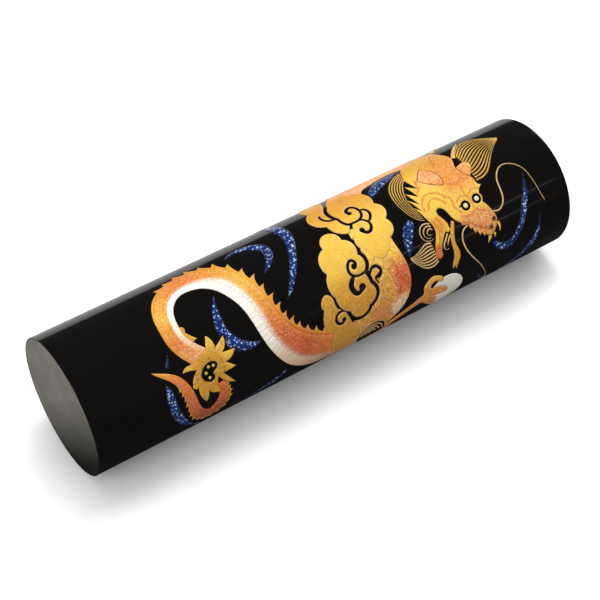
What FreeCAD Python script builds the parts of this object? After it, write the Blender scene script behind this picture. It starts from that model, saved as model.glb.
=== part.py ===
import FreeCAD, Part
import Sketcher
import math
import os

# A round name-seal stick lying on its side: a dark core, a black lacquer coat and raised decoration.
#
# Frame: +X runs from the bare working end to the crowned far end and +Z is up. The origin is under the
# middle of the stick, on the surface that it lies on. Lengths are in millimetres.
#
# The decoration is drawn flat and then wrapped round the barrel. A flat point is (x, s): x is the place
# along the stick, and s is the arc length from the top of the barrel, positive towards the front (-Y).
# Each patch is a thin solid that sits on the coat and has radial walls.

Vector = FreeCAD.Vector

SIZES = [
    ("barrel_diameter", 15.0),
    ("overall_length", 60.0),
    ("crown_height", 0.86),
    ("coat_thickness", 0.15),
    ("rim_radius", 0.3),
    ("relief_height", 0.06),
    ("line_height", 0.05),
    ("spray_height", 0.03),
    ("patch_gap", 0.01),
    ("ear_gap", 0.07),
    ("cloud_gap", 0.42),
]

doc = FreeCAD.newDocument("name_seal")
sheet = doc.addObject("Spreadsheet::Sheet", "sizes")
for row, (alias, value) in enumerate(SIZES, start=1):
    sheet.set("A%d" % row, alias.replace("_", " "))
    sheet.set("B%d" % row, str(value))
    sheet.setAlias("B%d" % row, alias)
doc.recompute()

BARREL_RADIUS = sheet.barrel_diameter / 2
HALF_LENGTH = sheet.overall_length / 2
COAT = sheet.coat_thickness

# The far end is a shallow spherical crown, whose centre is on the axis.
CROWN_RADIUS = (BARREL_RADIUS ** 2 + sheet.crown_height ** 2) / (2 * sheet.crown_height)
CROWN_CENTRE = HALF_LENGTH - CROWN_RADIUS

# Wrapping starts at the underside, so the cylinder's own seam lies where no decoration is.
ON_BARREL = FreeCAD.Placement(Vector(0, 0, BARREL_RADIUS), FreeCAD.Rotation(Vector(0, 1, 0), 90))

nodes = []


# ---------------------------------------------------------------- turned bodies

def turned_body(name, label):
    """Empty body whose origin is on the barrel's axis."""
    body = doc.addObject("PartDesign::Body", name)
    body.Label = label
    body.setExpression("Placement.Base.z", "sizes.barrel_diameter / 2")
    return body


def profile_sketch(body, name):
    """Sketch on the body's XZ plane: along the axis, and out from it."""
    sketch = body.newObject("Sketcher::SketchObject", name)
    planes = [item for item in body.Origin.OriginFeatures if item.Role == "XZ_Plane"]
    sketch.AttachmentSupport = (planes[0], [""])
    sketch.MapMode = "FlatFace"
    return sketch


def crown_arc(radius, rim_height):
    """Arc of the crown from the axis out to the height of the rim."""
    circle = Part.Circle(Vector(CROWN_CENTRE, 0, 0), Vector(0, 0, 1), radius)
    return Part.ArcOfCircle(circle, 0, math.asin(rim_height / radius))


def segment(x1, y1, x2, y2):
    return Part.LineSegment(Vector(x1, y1, 0), Vector(x2, y2, 0))


def dimension(sketch, kind, *place_and_value, expression):
    """Add a dimension to a sketch and bind it to the sheet."""
    index = sketch.addConstraint(Sketcher.Constraint(kind, *place_and_value))
    sketch.setExpression("Constraints[%d]" % index, expression)


def relations(sketch, items):
    for item in items:
        sketch.addConstraint(Sketcher.Constraint(*item))


def revolve(body, sketch, name):
    feature = body.newObject("PartDesign::Revolution", name)
    feature.Profile = sketch
    feature.ReferenceAxis = (sketch, ["H_Axis"])
    feature.Angle = 360
    body.Tip = feature
    return feature


def core_stick():
    """Solid core with a bare sanded working end."""
    body = turned_body("core_stick", "core_stick")
    sketch = profile_sketch(body, "core_profile")
    inner = BARREL_RADIUS - COAT
    inner_crown = CROWN_RADIUS - COAT
    rim = CROWN_CENTRE + math.sqrt(inner_crown ** 2 - inner ** 2)
    axis, wall, crown, face = 0, 1, 2, 3
    start, end, centre = 1, 2, 3
    sketch.addGeometry(segment(-HALF_LENGTH, 0, HALF_LENGTH - COAT, 0), False)
    sketch.addGeometry(segment(rim, inner, -HALF_LENGTH, inner), False)
    sketch.addGeometry(crown_arc(inner_crown, inner), False)
    sketch.addGeometry(segment(-HALF_LENGTH, inner, -HALF_LENGTH, 0), False)
    relations(sketch, [
        ("Coincident", axis, end, crown, start),
        ("Coincident", crown, end, wall, start),
        ("Coincident", wall, end, face, start),
        ("Coincident", face, end, axis, start),
        ("PointOnObject", axis, start, -1),
        ("Horizontal", axis),
        ("Horizontal", wall),
        ("Vertical", face),
        ("PointOnObject", crown, centre, -1),
    ])
    dimension(sketch, "DistanceX", face, end, -1, 1, HALF_LENGTH, expression="sizes.overall_length / 2")
    dimension(sketch, "DistanceX", -1, 1, axis, end, HALF_LENGTH - COAT,
              expression="sizes.overall_length / 2 - sizes.coat_thickness")
    dimension(sketch, "DistanceY", -1, 1, face, start, inner,
              expression="sizes.barrel_diameter / 2 - sizes.coat_thickness")
    dimension(sketch, "Radius", crown, inner_crown,
              expression="((sizes.barrel_diameter / 2) ^ 2 + sizes.crown_height ^ 2)"
                         " / (2 * sizes.crown_height) - sizes.coat_thickness")
    revolve(body, sketch, "core_turning")
    return body


def lacquer_coat():
    """Black coat over the barrel and the far end, open at the working end."""
    body = turned_body("lacquer_coat", "lacquer_coat")
    sketch = profile_sketch(body, "coat_profile")
    inner = BARREL_RADIUS - COAT
    inner_crown = CROWN_RADIUS - COAT
    inner_rim = CROWN_CENTRE + math.sqrt(inner_crown ** 2 - inner ** 2)
    outer_rim = HALF_LENGTH - sheet.crown_height
    edge, outside, outer_crown, pole, inner_arc, inside = range(6)
    start, end, centre = 1, 2, 3
    sketch.addGeometry(segment(-HALF_LENGTH, inner, -HALF_LENGTH, BARREL_RADIUS), False)
    sketch.addGeometry(segment(-HALF_LENGTH, BARREL_RADIUS, outer_rim, BARREL_RADIUS), False)
    sketch.addGeometry(crown_arc(CROWN_RADIUS, BARREL_RADIUS), False)
    sketch.addGeometry(segment(HALF_LENGTH - COAT, 0, HALF_LENGTH, 0), False)
    sketch.addGeometry(crown_arc(inner_crown, inner), False)
    sketch.addGeometry(segment(inner_rim, inner, -HALF_LENGTH, inner), False)
    relations(sketch, [
        ("Coincident", edge, end, outside, start),
        ("Coincident", outside, end, outer_crown, end),
        ("Coincident", outer_crown, start, pole, end),
        ("Coincident", pole, start, inner_arc, start),
        ("Coincident", inner_arc, end, inside, start),
        ("Coincident", inside, end, edge, start),
        ("Vertical", edge),
        ("Horizontal", outside),
        ("Horizontal", pole),
        ("Horizontal", inside),
        ("PointOnObject", pole, start, -1),
        ("PointOnObject", outer_crown, centre, -1),
        ("Coincident", outer_crown, centre, inner_arc, centre),
    ])
    dimension(sketch, "DistanceX", edge, start, -1, 1, HALF_LENGTH, expression="sizes.overall_length / 2")
    dimension(sketch, "DistanceX", -1, 1, pole, end, HALF_LENGTH, expression="sizes.overall_length / 2")
    dimension(sketch, "DistanceX", pole, start, pole, end, COAT, expression="sizes.coat_thickness")
    dimension(sketch, "DistanceX", outside, end, pole, end, sheet.crown_height,
              expression="sizes.crown_height")
    dimension(sketch, "DistanceY", -1, 1, edge, end, BARREL_RADIUS, expression="sizes.barrel_diameter / 2")
    dimension(sketch, "DistanceY", edge, start, edge, end, COAT, expression="sizes.coat_thickness")
    turning = revolve(body, sketch, "coat_turning")
    doc.recompute()

    rim_edges = []
    for index, rim in enumerate(turning.Shape.Edges, start=1):
        middle = rim.BoundBox.Center.x
        if abs(middle - outer_rim) < 1e-3 and abs(rim.BoundBox.ZMax - BARREL_RADIUS) < 1e-3:
            if rim.BoundBox.ZLength > BARREL_RADIUS:
                rim_edges.append("Edge%d" % index)
    rounding = body.newObject("PartDesign::Fillet", "rim_rounding")
    rounding.Base = (turning, rim_edges)
    rounding.Radius = sheet.rim_radius
    rounding.setExpression("Radius", "sizes.rim_radius")
    body.Tip = rounding
    return body


# ---------------------------------------------------------------- flat drawing

def flat(points):
    return [Vector(x, s, 0) for x, s in points]


def run_edge(points):
    """Two points make a straight edge, three an arc, and more a smooth curve."""
    corners = flat(points)
    if len(corners) == 2:
        return Part.LineSegment(*corners).toShape()
    if len(corners) == 3:
        return Part.Arc(*corners).toShape()
    curve = Part.BSplineCurve()
    curve.interpolate(corners)
    return curve.toShape()


def patch(*runs):
    """Closed flat face whose outline is the runs, one after another. Each starts where the last ended."""
    edges = []
    last = runs[-1][-1]
    for points in runs:
        edges.append(run_edge([last] + list(points)))
        last = points[-1]
    return Part.Face(Part.Wire(edges))


def lobed(*points):
    """Closed face edged with arcs: cusp, crest of the arc, next cusp, and so on round."""
    return patch(*[[points[i], points[(i + 1) % len(points)]] for i in range(1, len(points), 2)])


def disc(x, s, radius):
    return Part.Face(Part.Wire(Part.Circle(Vector(x, s, 0), Vector(0, 0, 1), radius).toShape()))


def centre_line(stations):
    """Curve through stations (x, s, half width), with one unit of parameter between stations."""
    curve = Part.BSplineCurve()
    knots = [float(i) for i in range(len(stations))]
    curve.interpolate(Points=[Vector(*station) for station in stations], Parameters=knots)
    return curve


def beside(curve, place, offset):
    """Flat point beside a centre line, offset by so many half widths to the +s side of the way ahead."""
    here = curve.value(place)
    ahead = curve.tangent(place)[0]
    side = Vector(-ahead.y, ahead.x, 0)
    side.normalize()
    return Vector(here.x, here.y, 0) + side * (offset * max(here.z, 0.02))


def beside_edge(curve, first, last, offset, per_station=3):
    """Smooth edge that keeps a given offset from the centre line between two places."""
    count = max(3, int(round(abs(last - first) * per_station)))
    places = [first + (last - first) * i / count for i in range(count + 1)]
    edge = Part.BSplineCurve()
    edge.interpolate([beside(curve, place, offset) for place in places])
    return edge.toShape()


def band(stations, low=-1.0, high=1.0, first=0.0, last=None):
    """Flat ribbon along the stations, between two offsets."""
    curve = centre_line(stations)
    if last is None:
        last = len(stations) - 1.0
    near = beside_edge(curve, first, last, low)
    far = beside_edge(curve, last, first, high)
    ends = [Part.LineSegment(beside(curve, last, low), beside(curve, last, high)).toShape(),
            Part.LineSegment(beside(curve, first, high), beside(curve, first, low)).toShape()]
    return Part.Face(Part.Wire([near, ends[0], far, ends[1]]))


def teeth(stations, first, last, count, base, low, high):
    """Saw-edged crest along one side of the ribbon: each tooth leans back towards the tail.

    The teeth stand low at both ends of the row and high in its middle.
    """
    curve = centre_line(stations)
    edges = []
    step = (last - first) / count
    for i in range(count):
        root = first + i * step
        swell = math.sin(math.pi * (i + 0.5) / count)
        tooth = (low + (high - low) * swell) * (0.85 + 0.15 * math.cos(2.4 * i))
        reach = tooth / curve.value(root).z
        start = beside(curve, root, -1.0)
        point = beside(curve, root + 0.02 * step, -1.0 - reach)
        shoulder = beside(curve, root + 0.4 * step, -1.0 - 0.3 * reach)
        end = beside(curve, root + step, -1.0)
        edges.append(Part.LineSegment(start, point).toShape())
        edges.append(Part.Arc(point, shoulder, end).toShape())
    inner = beside_edge(curve, last, first, -base)
    edges.append(Part.LineSegment(end, beside(curve, last, -base)).toShape())
    edges.append(inner)
    edges.append(Part.LineSegment(beside(curve, first, -base), beside(curve, first, -1.0)).toShape())
    return Part.Face(Part.Wire(edges))


def between(lower, upper, count):
    """Lists of points that turn one boundary line into the other."""
    lines = []
    for i in range(count):
        share = i / (count - 1)
        lines.append([(a[0] + (b[0] - a[0]) * share, a[1] + (b[1] - a[1]) * share)
                      for a, b in zip(lower, upper)])
    return lines


def strand(points, half_width, tip=0.03):
    """Fine line that tapers to its last point."""
    count = len(points) - 1
    stations = [(x, s, max(tip, half_width * min(1.0, 1.6 * (1 - i / count))))
                for i, (x, s) in enumerate(points)]
    return band(stations)


def grown(face, gap):
    return face.makeOffset2D(gap)


def without(face, *cutters):
    """Faces left of a flat face when others are cut away."""
    return face.cut(list(cutters)).Faces if cutters else [face]


# ---------------------------------------------------------------- wrapping

def barrel_surface(radius):
    surface = Part.Cylinder()
    surface.Radius = radius
    return surface


def wrapped_edge(edge, surface):
    """Carry a flat edge onto the cylinder: s becomes the angle, x the height."""
    curve = edge.Curve.toBSpline(edge.FirstParameter, edge.LastParameter)
    poles = [FreeCAD.Base.Vector2d(math.pi + pole.y / BARREL_RADIUS, pole.x) for pole in curve.getPoles()]
    carried = Part.Geom2d.BSplineCurve2d()
    carried.buildFromPolesMultsKnots(poles, curve.getMultiplicities(), curve.getKnots(), False,
                                     curve.Degree, curve.getWeights())
    return carried.toShape(surface)


def wrapped_solid(face, height):
    """Thin solid on the coat with the outline of a flat face."""
    wires = [face.OuterWire] + [wire for wire in face.Wires if not wire.isSame(face.OuterWire)]
    skins = []
    rings = []
    for radius in (BARREL_RADIUS, BARREL_RADIUS + height):
        surface = barrel_surface(radius)
        edges = [[wrapped_edge(edge, surface) for edge in wire.OrderedEdges] for wire in wires]
        skin = Part.Face(surface, Part.Wire(edges[0]))
        if len(edges) > 1:
            skin.cutHoles([Part.Wire(ring) for ring in edges[1:]])
        skin.validate()
        skins.append(skin)
        rings.append(edges)
    walls = []
    for low_ring, high_ring in zip(*rings):
        for low, high in zip(low_ring, high_ring):
            walls.append(Part.makeRuledSurface(low, high))
    shell = Part.makeShell(skins + walls)
    shell.sewShape()
    solid = Part.makeSolid(shell)
    if solid.Volume < 0:
        solid.reverse()
    return solid


def add_patches(name, faces, height):
    """One node of raised patches on the barrel."""
    solids = [wrapped_solid(face, height) for face in faces if face.Area > 0.01]
    feature = doc.addObject("Part::Feature", name)
    feature.Label = name
    feature.Shape = solids[0] if len(solids) == 1 else Part.makeCompound(solids)
    feature.Placement = ON_BARREL
    nodes.append(feature)
    expected = sum(face.Area for face in faces) * height * (1 + height / 2 / BARREL_RADIUS)
    if abs(feature.Shape.Volume - expected) > 0.03 * expected + 0.002:
        raise RuntimeError("%s holds %.4f mm3, not %.4f" % (name, feature.Shape.Volume, expected))


# ---------------------------------------------------------------- the dragon's body

# Centre line of the body, tail first: x, s and half width. Belly on the +1 side, crest on the -1 side.
BODY = [
    (-17.2, 6.75, 1.0), (-18.75, 4.6, 0.98), (-18.95, 3.1, 0.98), (-18.8, 1.7, 1.02), (-18.25, 0.4, 1.08),
    (-17.35, -0.6, 1.13), (-16.2, -1.25, 1.22), (-14.9, -1.48, 1.38), (-13.55, -1.3, 1.5),
    (-12.35, -0.7, 1.57), (-11.3, 0.35, 1.6), (-10.55, 1.75, 1.55), (-10.0, 3.25, 1.48), (-9.65, 4.8, 1.46),
    (-9.3, 6.4, 1.54), (-8.75, 8.0, 1.68), (-7.85, 9.5, 1.88), (-6.6, 10.9, 2.1), (-4.95, 12.1, 2.25),
    (-3.0, 12.9, 2.3), (-0.9, 13.25, 2.3), (1.2, 12.95, 2.35), (3.1, 11.95, 2.3), (4.6, 10.4, 2.3),
    (5.15, 8.4, 2.25), (5.0, 6.4, 2.1), (4.8, 4.4, 2.0), (4.9, 2.2, 2.0), (5.2, 0.0, 2.0),
    (5.6, -2.2, 1.9), (6.4, -4.0, 1.9), (7.7, -5.0, 1.9), (9.5, -5.6, 1.9), (11.4, -5.95, 1.85),
    (13.2, -5.85, 1.8), (14.8, -5.2, 1.8), (15.9, -3.9, 1.8),
]
BELLY = 0.4
CREST = 0.8
REAR_END = 20.6
FRONT_END = 27.2
NECK_START = 29.4

# ---------------------------------------------------------------- clouds

UPPER_CLOUD = lobed(
    (3.6, -2.9), (4.9, -4.35), (6.7, -3.3), (7.85, -1.7), (7.6, -0.15), (8.15, 1.0), (7.45, 2.15),
    (7.7, 3.2), (6.65, 4.2), (6.1, 5.25), (5.1, 5.85), (4.2, 5.4), (3.75, 4.35), (2.95, 3.3), (3.55, 2.2),
    (3.7, 1.6), (4.0, 1.1), (3.45, 0.5), (3.25, -0.35), (2.95, -1.6))
UPPER_SCROLLS = [
    [(4.6, -0.35, 0.22), (4.55, -0.85, 0.19), (5.05, -1.12, 0.18), (5.55, -0.75, 0.17), (5.7, 0.0, 0.15),
     (5.4, 0.7, 0.14), (4.7, 1.0, 0.13), (3.7, 0.95, 0.14)],
    [(4.45, 2.2, 0.24), (4.85, 2.68, 0.18), (5.4, 2.5, 0.17), (5.65, 1.85, 0.15), (5.35, 1.25, 0.13),
     (4.85, 1.0, 0.1)],
    [(5.75, -0.05, 0.08), (6.2, 0.05, 0.15), (6.42, 0.6, 0.16), (6.15, 1.25, 0.14), (5.6, 1.6, 0.08)],
]

LOWER_CLOUD = lobed(
    (-0.5, 2.25), (0.65, 0.82), (1.85, 2.2), (2.7, 3.2), (2.5, 4.3), (2.88, 5.2), (2.25, 6.2),
    (2.52, 6.9), (2.6, 7.6), (3.0, 8.6), (2.3, 9.6), (2.15, 9.72), (1.95, 9.7), (0.8, 10.6),
    (-0.35, 9.45), (-1.35, 8.65), (-1.65, 7.4), (-2.05, 6.1), (-1.55, 4.8), (-1.75, 3.45))
LOWER_SCROLLS = [
    [(1.55, 5.25, 0.25), (1.8, 4.85, 0.17), (1.4, 4.55, 0.15), (0.92, 4.95, 0.16), (0.78, 5.6, 0.16),
     (1.1, 6.1, 0.14), (1.7, 6.3, 0.13), (2.6, 6.2, 0.14)],
    [(1.6, 7.55, 0.32), (1.15, 7.95, 0.22), (0.68, 7.8, 0.28), (0.42, 7.1, 0.3), (0.7, 6.5, 0.28),
     (1.1, 6.12, 0.12)],
]

SMALL_CLOUD = patch(
    [(-3.35, 7.15), (-2.65, 6.6), (-2.05, 7.1), (-1.95, 7.8), (-1.7, 8.6)],
    [(-1.2, 8.95), (-0.8, 9.6), (-0.5, 10.5), (-0.3, 11.3), (0.2, 11.95)],
    [(0.55, 12.9), (0.05, 13.9)],
    [(-1.3, 14.9), (-2.65, 13.8)],
    [(-2.85, 12.4), (-2.6, 11.15)],
    [(-3.3, 10.7), (-3.65, 9.9), (-3.6, 8.8), (-3.3, 8.05)])
SMALL_SCROLL = [(-1.3, 10.0, 0.22), (-1.68, 10.33, 0.17), (-2.13, 10.0, 0.16), (-2.17, 9.4, 0.15),
                (-1.75, 8.98, 0.15), (-1.0, 9.05, 0.15)]

CLOUD_RIBBON = patch(
    [(0.5, -2.2), (0.35, -1.3), (0.8, -0.4), (1.5, 0.0)],
    [(1.95, 1.3), (3.15, 1.88)],
    [(3.35, 1.5), (3.62, 1.15)],
    [(3.1, 0.6), (2.95, -0.15)],
    [(2.5, -1.2), (2.65, -2.2), (3.2, -3.1), (3.75, -4.4), (4.0, -6.2), (3.3, -8.2), (1.4, -9.8)],
    [(2.3, -7.9), (2.2, -6.6)],
    [(1.3, -5.2), (1.3, -3.2)])
RIBBON_SCROLL = [(1.95, -2.0, 0.09), (1.75, -1.4, 0.15), (1.95, -0.85, 0.16), (2.4, -0.55, 0.15),
                 (3.1, -0.5, 0.14)]

BACK_CLOUD = lobed(
    (-7.0, -13.2), (-6.2, -12.1), (-4.9, -12.6), (-3.6, -11.6), (-2.3, -12.5), (-1.0, -13.0),
    (-0.9, -14.4), (0.2, -15.5), (-1.2, -16.4), (-3.0, -17.3), (-4.6, -16.4), (-6.4, -16.6), (-7.2, -15.2),
    (-7.9, -14.3))
BACK_SCROLL = [(-3.6, -14.4, 0.2), (-3.9, -13.8, 0.14), (-3.2, -13.5, 0.13), (-2.6, -14.1, 0.13),
               (-2.9, -15.1, 0.13), (-3.9, -15.5, 0.12), (-5.2, -15.0, 0.11), (-6.3, -14.2, 0.08)]

CHEST_SCROLL = [(2.75, 7.5, 0.1), (2.82, 6.7, 0.17), (3.4, 6.15, 0.17), (4.0, 6.3, 0.18),
                (4.18, 6.85, 0.19), (3.8, 7.22, 0.24), (3.42, 7.3, 0.17), (3.55, 8.0, 0.06)]


def scroll(stations):
    """Line of bare lacquer in a cloud, with a round head at its first station."""
    x, s, half_width = stations[0]
    return band(stations).fuse(disc(x, s, 1.25 * half_width))


def cloud_nodes():
    height = sheet.relief_height
    add_patches("upper_cloud", without(UPPER_CLOUD, *map(scroll, UPPER_SCROLLS)), height)
    add_patches("lower_cloud", without(LOWER_CLOUD, *map(scroll, LOWER_SCROLLS)), height)
    add_patches("small_cloud", without(SMALL_CLOUD, scroll(SMALL_SCROLL)), height)
    add_patches("cloud_ribbon", without(CLOUD_RIBBON, band(RIBBON_SCROLL)), height)
    add_patches("back_cloud", without(BACK_CLOUD, scroll(BACK_SCROLL)), height)


# ---------------------------------------------------------------- head

HEAD = patch(
    [(12.35, -1.25)], [(12.75, 0.6)], [(11.75, -0.35)], [(12.2, 1.6)], [(11.15, 0.55)], [(11.75, 2.5)],
    [(10.85, 1.4)], [(11.5, 3.2)], [(10.85, 2.45)], [(11.15, 3.1), (11.35, 3.8), (11.55, 4.4)],
    [(11.75, 5.0), (11.75, 5.8), (11.4, 6.6), (11.0, 7.5), (11.0, 8.3)],
    [(11.35, 8.6), (11.75, 8.1)],
    [(11.95, 7.3), (12.35, 6.7), (12.9, 6.1)],
    [(13.15, 6.35), (13.42, 5.9)],
    [(13.35, 5.2), (13.1, 4.7), (12.88, 4.2), (12.95, 3.8), (13.3, 3.65), (13.8, 4.0), (14.1, 4.8),
     (14.5, 5.6), (15.0, 6.05)],
    [(15.0, 6.4)],
    [(15.35, 6.45), (15.7, 6.6)],
    [(15.85, 7.2)], [(16.05, 7.05)], [(16.25, 7.8)], [(16.5, 7.6)], [(16.8, 8.25)], [(17.05, 8.05)],
    [(17.3, 8.55)], [(17.5, 8.35)],
    [(17.9, 8.7), (18.4, 8.7), (18.8, 8.3), (19.15, 7.8), (19.3, 7.1), (19.05, 6.3), (18.75, 5.6),
     (18.35, 5.0)],
    [(18.62, 4.55), (18.5, 4.1)],
    [(18.75, 3.7), (19.3, 3.3)],
    [(18.95, 3.05), (18.9, 2.45), (18.75, 2.0)],
    [(18.2, 1.2), (18.1, 0.3)],
    [(18.45, -0.6), (18.75, -1.3), (18.6, -2.4), (18.3, -3.4), (18.3, -4.3)],
    [(16.9, -5.05), (15.3, -4.75), (13.9, -3.85), (13.1, -2.9)])
LEFT_EAR = patch([(14.1, -1.15), (14.9, -1.95)], [(15.5, -0.9), (15.8, 0.1), (15.75, 0.9), (15.45, 1.5)],
                 [(14.3, 0.75), (13.45, -0.35)])
RIGHT_EAR = patch([(19.4, 1.3), (19.75, 0.6), (19.55, 0.05), (18.9, 0.0), (18.15, 0.25)],
                  [(18.25, 1.2), (18.8, 1.95)])
EYES = [(16.35, 4.65), (17.92, 4.47)]
SOCKET_RADIUS = 0.56
PUPIL_RADIUS = 0.27
EYE_CORNER = [(16.2, 4.45, 0.2), (15.85, 4.5, 0.12), (15.5, 4.55, 0.02)]
HORNS = [
    [(18.95, -1.2, 0.24), (19.6, -2.1, 0.2), (20.4, -2.95, 0.14), (21.3, -3.7, 0.03)],
    [(18.55, -4.45, 0.28), (19.2, -5.6, 0.24), (20.2, -6.7, 0.16), (21.5, -7.5, 0.03)],
]
FANGS = [
    [(17.95, 8.8, 0.22), (17.85, 9.1, 0.15), (17.6, 9.5, 0.02)],
    [(19.28, 7.75, 0.14), (19.4, 8.25, 0.12), (19.3, 8.8, 0.02)],
    [(18.6, 8.72, 0.14), (18.62, 8.95, 0.09), (18.55, 9.2, 0.02)],
]
TONGUE = patch(
    [(14.0, 6.2), (13.68, 7.0), (13.6, 7.9), (13.85, 8.8), (13.8, 9.5), (13.45, 10.1), (13.2, 10.75)],
    [(13.05, 10.25)],
    [(12.72, 10.5)],
    [(12.78, 9.9), (13.05, 9.2), (13.12, 8.2), (13.18, 7.0), (13.5, 6.2), (13.95, 5.4)],
    [(14.25, 5.6)])
JAW_HOOKS = [
    [(13.0, 6.45), (12.5, 7.0), (12.15, 7.5), (12.2, 7.9), (12.6, 8.0)],
    [(13.2, 6.75), (12.85, 7.15), (12.6, 7.6)],
]

# Hair is drawn as lines between a first and a last boundary line, both from the root.
MANE_REAR = (
    [(13.0, -2.95), (11.3, -2.1), (10.1, -0.8), (9.6, 0.7), (9.7, 2.2), (10.25, 3.45), (11.2, 4.15)],
    [(12.45, -1.4), (11.9, -0.9), (11.35, -0.15), (10.95, 0.7), (10.75, 1.6), (10.8, 2.5), (11.05, 3.1)])
MANE_FRONT = ([(19.1, 2.65), (20.1, 2.6), (21.1, 2.1), (22.3, 0.95), (23.6, -0.15), (24.8, -0.95)],
              [(19.35, -1.5), (20.1, -2.3), (21.2, -3.1), (22.5, -3.1), (23.7, -2.3), (25.0, -1.2)])
BEARD = ([(10.75, 6.65), (10.0, 6.5), (9.3, 6.8), (8.6, 7.05), (7.9, 7.1)],
         [(11.05, 8.75), (10.2, 9.05), (9.3, 8.8), (8.5, 8.1), (7.9, 7.3)])
CHEEK_CURL = [
    [(11.5, 4.75), (10.95, 4.5), (10.35, 4.65), (9.98, 5.25), (10.1, 5.95), (10.65, 6.35), (11.2, 6.3)],
    [(11.5, 5.05), (11.0, 4.85), (10.55, 5.05), (10.35, 5.5), (10.55, 5.95), (11.0, 6.05)],
    [(11.5, 5.4), (11.1, 5.2), (10.8, 5.45), (10.85, 5.75), (11.25, 5.8)],
]
WHISKERS = {
    "whisker_upper": [(19.2, 6.45), (19.85, 6.6), (20.5, 6.25), (20.95, 5.3), (21.1, 4.1), (21.5, 3.15),
                      (22.25, 2.5), (23.1, 2.38), (24.0, 2.8), (24.7, 3.6), (25.05, 4.7), (25.3, 6.0),
                      (25.5, 7.0), (25.8, 7.9)],
    "whisker_lower": [(15.6, 6.65), (15.0, 6.85), (14.6, 7.4), (14.52, 8.2), (14.8, 9.2), (15.5, 10.4),
                      (16.35, 11.6), (17.05, 12.8), (17.6, 13.9), (18.0, 15.1), (18.2, 16.4)],
}


def head_nodes():
    height = sheet.relief_height
    gap = sheet.ear_gap
    sockets = [disc(x, s, SOCKET_RADIUS) for x, s in EYES] + [band(EYE_CORNER)]
    add_patches("head", without(HEAD, grown(LEFT_EAR, gap), *sockets), height)
    add_patches("left_ear", [LEFT_EAR], height)
    add_patches("right_ear", without(RIGHT_EAR, grown(HEAD, gap)), height)
    add_patches("pupils", [disc(x, s, PUPIL_RADIUS) for x, s in EYES], height)
    add_patches("horns", [part for horn in HORNS for part in without(band(horn), HEAD)], height)
    add_patches("fangs", [part for fang in FANGS for part in without(band(fang), HEAD)], height)
    add_patches("tongue", without(TONGUE, grown(HEAD, 0.05)), height)


def hair_nodes():
    height = sheet.line_height
    rear = [strand(line, 0.08) for line in between(*MANE_REAR, 6)]
    add_patches("mane_rear", [part for hair in rear for part in without(hair, HEAD)], height)
    front = [strand(line, 0.1) for line in between(*MANE_FRONT, 13)]
    horns = [grown(band(horn), 0.05) for horn in HORNS]
    front = [part for hair in front for part in without(hair, HEAD, RIGHT_EAR, *horns)]
    add_patches("mane_front", merged(front), height)
    beard = [strand(line, 0.09) for line in between(*BEARD, 8)]
    add_patches("beard", merged([part for hair in beard for part in without(hair, HEAD)]), height)
    curls = [strand(line, 0.08) for line in CHEEK_CURL]
    add_patches("cheek_curl", [part for curl in curls for part in without(curl, HEAD)], height)
    hooks = [strand(line, 0.09) for line in JAW_HOOKS]
    add_patches("jaw_hooks", [part for hook in hooks for part in without(hook, HEAD)], height)
    for name, points in WHISKERS.items():
        add_patches(name, without(strand(points, 0.085), HEAD), height)


def merged(faces):
    """Faces that meet become one."""
    joined = faces[0].fuse(faces[1:])
    return joined.removeSplitter().Faces


# ---------------------------------------------------------------- tail

KIDNEY = patch([(-17.5, 7.72), (-16.95, 7.45), (-16.3, 7.5), (-15.97, 7.9), (-16.2, 8.35), (-16.6, 8.6),
                (-16.55, 9.15), (-16.95, 9.45), (-17.45, 9.3), (-17.85, 8.85), (-17.9, 8.3)])
BEADS = [(-16.95, 7.85), (-16.42, 7.92), (-17.38, 8.35), (-17.12, 8.98)]
BEAD_RADIUS = 0.16
TUFT = patch(
    [(-18.9, 6.85), (-18.2, 6.85), (-17.3, 6.45), (-16.55, 6.2)],
    [(-16.35, 5.6), (-16.05, 4.95)],
    [(-15.6, 5.8), (-15.62, 6.4)],
    [(-15.1, 6.1), (-14.4, 5.65)],
    [(-14.55, 6.5), (-15.15, 7.15)],
    [(-14.6, 7.2), (-13.75, 7.3)],
    [(-14.35, 7.95), (-15.1, 8.15)],
    [(-14.7, 8.5), (-14.15, 9.0)],
    [(-14.9, 9.12), (-15.65, 9.1)],
    [(-15.2, 9.75), (-14.55, 10.75)],
    [(-15.5, 10.2), (-16.2, 9.25)],
    [(-16.4, 9.9), (-16.1, 11.1)],
    [(-16.9, 10.9), (-17.55, 10.3)],
    [(-17.6, 10.9), (-17.9, 11.5)],
    [(-18.4, 10.7), (-18.5, 9.4)],
    [(-18.85, 9.45), (-19.05, 9.05)],
    [(-18.8, 8.3), (-18.15, 7.65)],
    [(-18.9, 7.38), (-19.65, 7.3)])
TAIL_LOOP = [(-22.55, 5.95, 0.02), (-21.5, 6.72, 0.26), (-20.5, 7.6, 0.42), (-19.85, 8.9, 0.52),
             (-19.5, 10.4, 0.56), (-19.2, 12.0, 0.62), (-18.55, 13.2, 0.72), (-17.5, 13.65, 0.78),
             (-16.5, 13.1, 0.78), (-15.9, 12.0, 0.7), (-15.85, 10.9, 0.55), (-16.0, 10.0, 0.4)]
# The loop's crest is on its outer side, so it is drawn along the loop the other way round.
TAIL_LOOP_OUTWARD = list(reversed(TAIL_LOOP))
TAIL_FIN = patch(
    [(-17.62, 3.3), (-17.72, 3.8)], [(-17.3, 4.35), (-16.85, 4.85)],
    [(-17.2, 4.9), (-17.5, 5.2)], [(-17.9, 4.3), (-18.05, 3.1)])


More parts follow.
